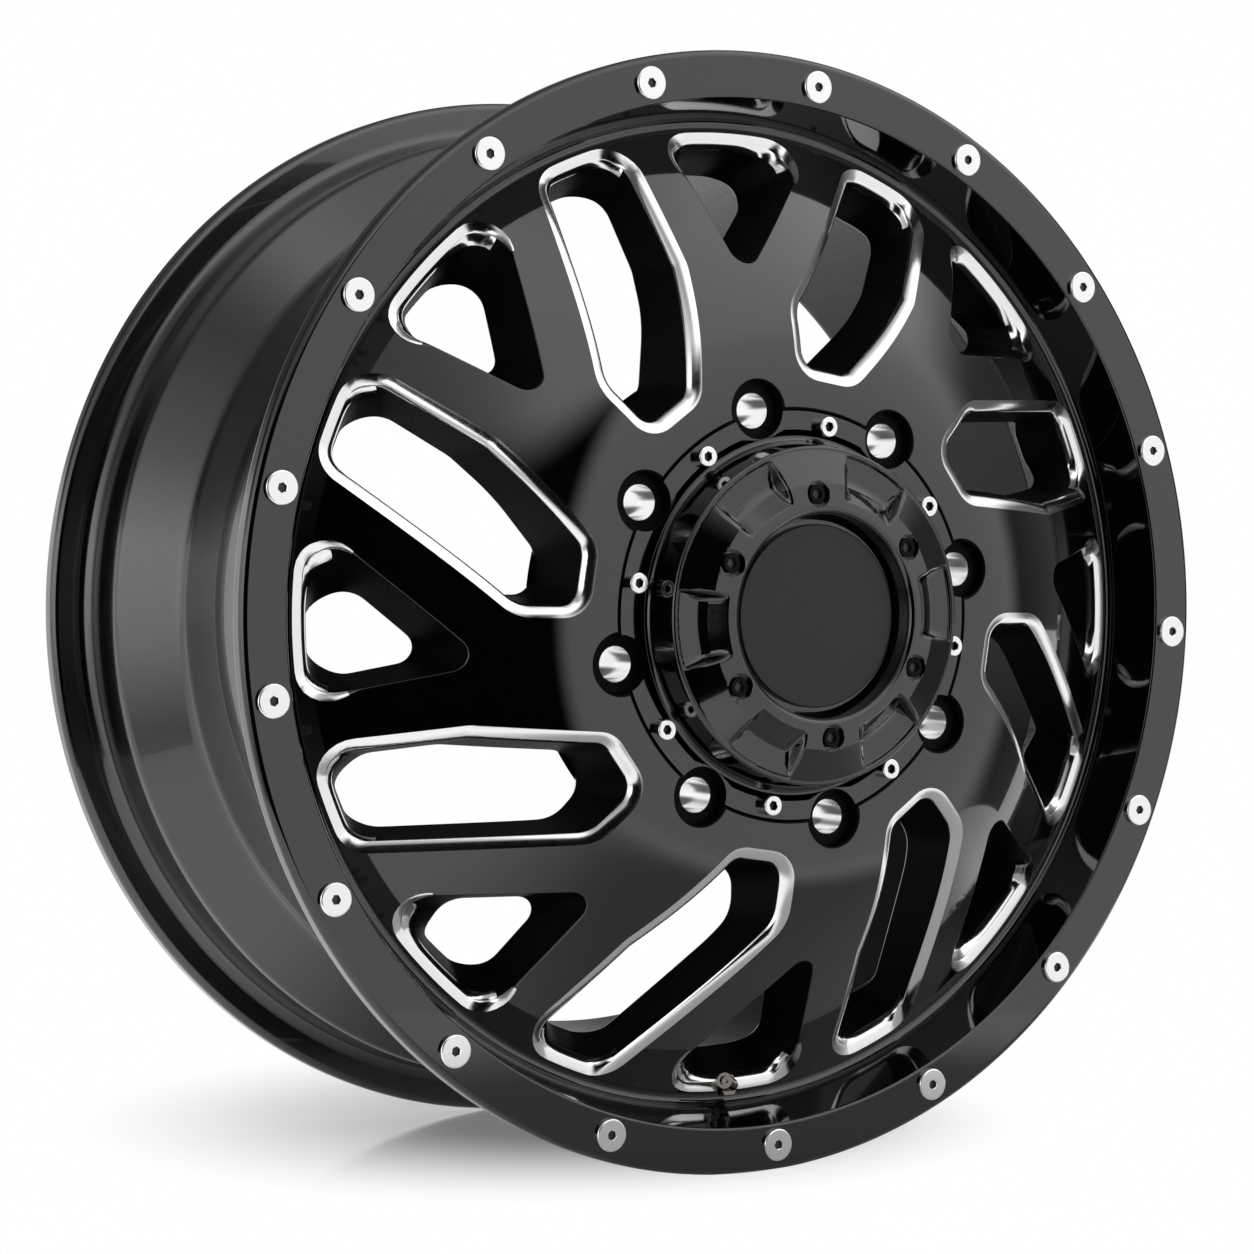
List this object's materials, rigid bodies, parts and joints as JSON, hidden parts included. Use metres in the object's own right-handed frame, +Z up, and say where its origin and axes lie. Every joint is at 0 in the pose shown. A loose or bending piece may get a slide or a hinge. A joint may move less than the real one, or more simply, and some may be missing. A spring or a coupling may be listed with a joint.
{
  "type": "dual truck wheel",
  "caption": "Deep-offset truck wheel for dual rear axles: domed face with slanted windows and milled bevels, bolted lip, domed hub cap, bent valve and a wide drop-well barrel.",
  "frame": {"origin": "on the axle line, in the plane of the mounting pad", "axes": "+Y along the axle from the face to the back, towards the vehicle; +Z up, with the valve at the bottom; +X to the right looking at the face"},
  "size_m": [0.5478, 0.3033, 0.5478],
  "materials": {
    "gloss_black": "high-gloss black paint on aluminium alloy",
    "milled_aluminium": "bright milled bevels and bored stud holes",
    "cap_black": "high-gloss black paint",
    "satin_black": "smooth black, softly glossy",
    "polished_steel": "bright polished steel",
    "black_steel": "black-coated steel",
    "black_rubber": "black rubber",
    "plated_brass": "bright nickel plate on brass"
  },
  "bodies": {
    "root": {"wheel": "gloss_black", "lip_bolts": "polished_steel", "centre_cap": "cap_black", "cap_plate": "satin_black", "cap_bolts": "black_steel", "cap_screws": "polished_steel", "valve_stem": "black_steel", "valve_nut": "black_steel", "valve_seal": "black_rubber", "valve_core": "plated_brass"}
  },
  "joints": []
}
